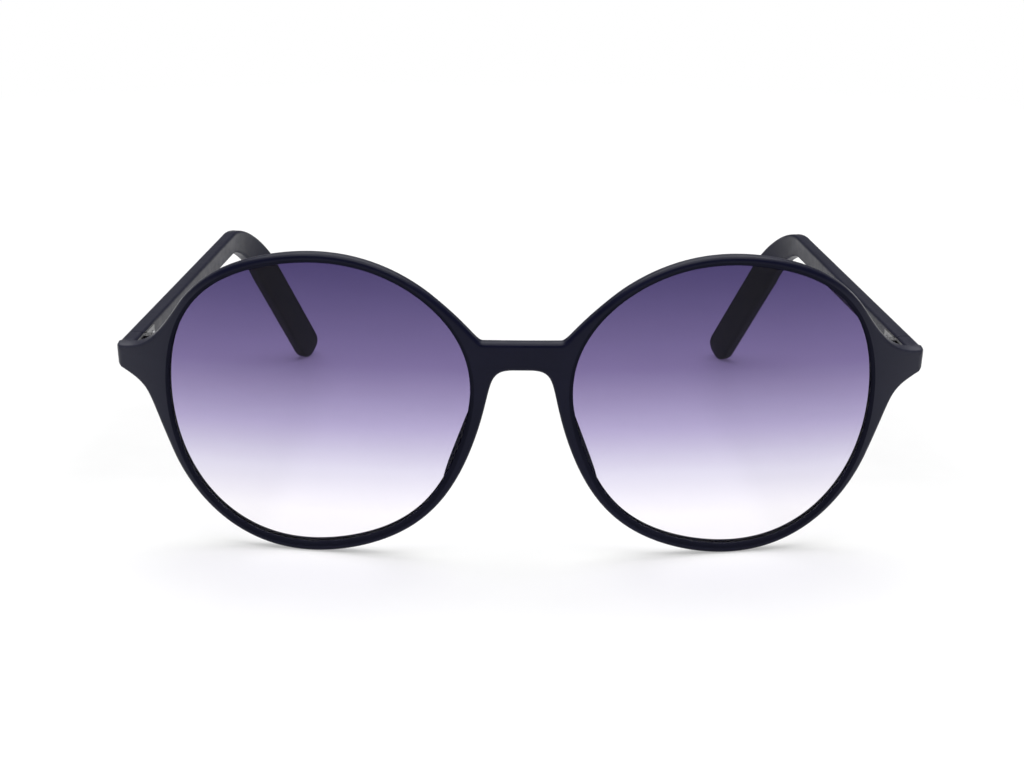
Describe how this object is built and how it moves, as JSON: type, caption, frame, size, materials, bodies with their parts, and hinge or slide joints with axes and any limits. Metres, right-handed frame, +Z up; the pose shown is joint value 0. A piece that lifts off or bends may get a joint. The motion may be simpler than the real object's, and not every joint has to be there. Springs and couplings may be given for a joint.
{
  "type": "oversized sunglasses",
  "caption": "Large round full-rim sunglasses with a slim matte front, gradient lenses, a flat bridge, nose pads and hinged temples that drop behind the ear.",
  "frame": {"origin": "on the table, under the middle of the whole part with its temples open", "axes": "+Z up, +X across the front to the viewer's right, +Y from the front back along the temples"},
  "size_m": [0.1464, 0.1382, 0.0588],
  "materials": {
    "frame_plastic": "matte, blue-black, soft to the eye",
    "lens_tint": "polished, purple-grey gradient from dark at the top to nearly clear at the bottom",
    "pad_plastic": "matte, as the front",
    "hinge_steel": "satin, darkened nickel silver",
    "screw_steel": "turned steel",
    "core_steel": "rolled nickel silver, inside the temple"
  },
  "bodies": {
    "front": {"front_frame": "frame_plastic", "lens_left": "lens_tint", "lens_right": "lens_tint", "nose_pad_left": "pad_plastic", "nose_pad_right": "pad_plastic", "front_hinge_left": "hinge_steel", "front_hinge_right": "hinge_steel", "hinge_screw_left": "screw_steel", "hinge_screw_right": "screw_steel", "front_leaf_screws_left": "screw_steel", "front_leaf_screws_right": "screw_steel"},
    "left_temple": {"temple_hinge_left": "hinge_steel", "temple_leaf_screws_left": "screw_steel", "temple_left": "frame_plastic", "temple_core_left": "core_steel"},
    "right_temple": {"temple_hinge_right": "hinge_steel", "temple_leaf_screws_right": "screw_steel", "temple_right": "frame_plastic", "temple_core_right": "core_steel"}
  },
  "joints": [
    {"name": "left_temple_hinge", "type": "hinge", "parent": "front", "child": "left_temple", "pos_m": [-0.06903, -0.04922, 0.0374], "axis": [0, 0, -1], "range_deg": [0, 83]},
    {"name": "right_temple_hinge", "type": "hinge", "parent": "front", "child": "right_temple", "pos_m": [0.06903, -0.04922, 0.0374], "axis": [0, 0, 1], "range_deg": [0, 75]}
  ]
}
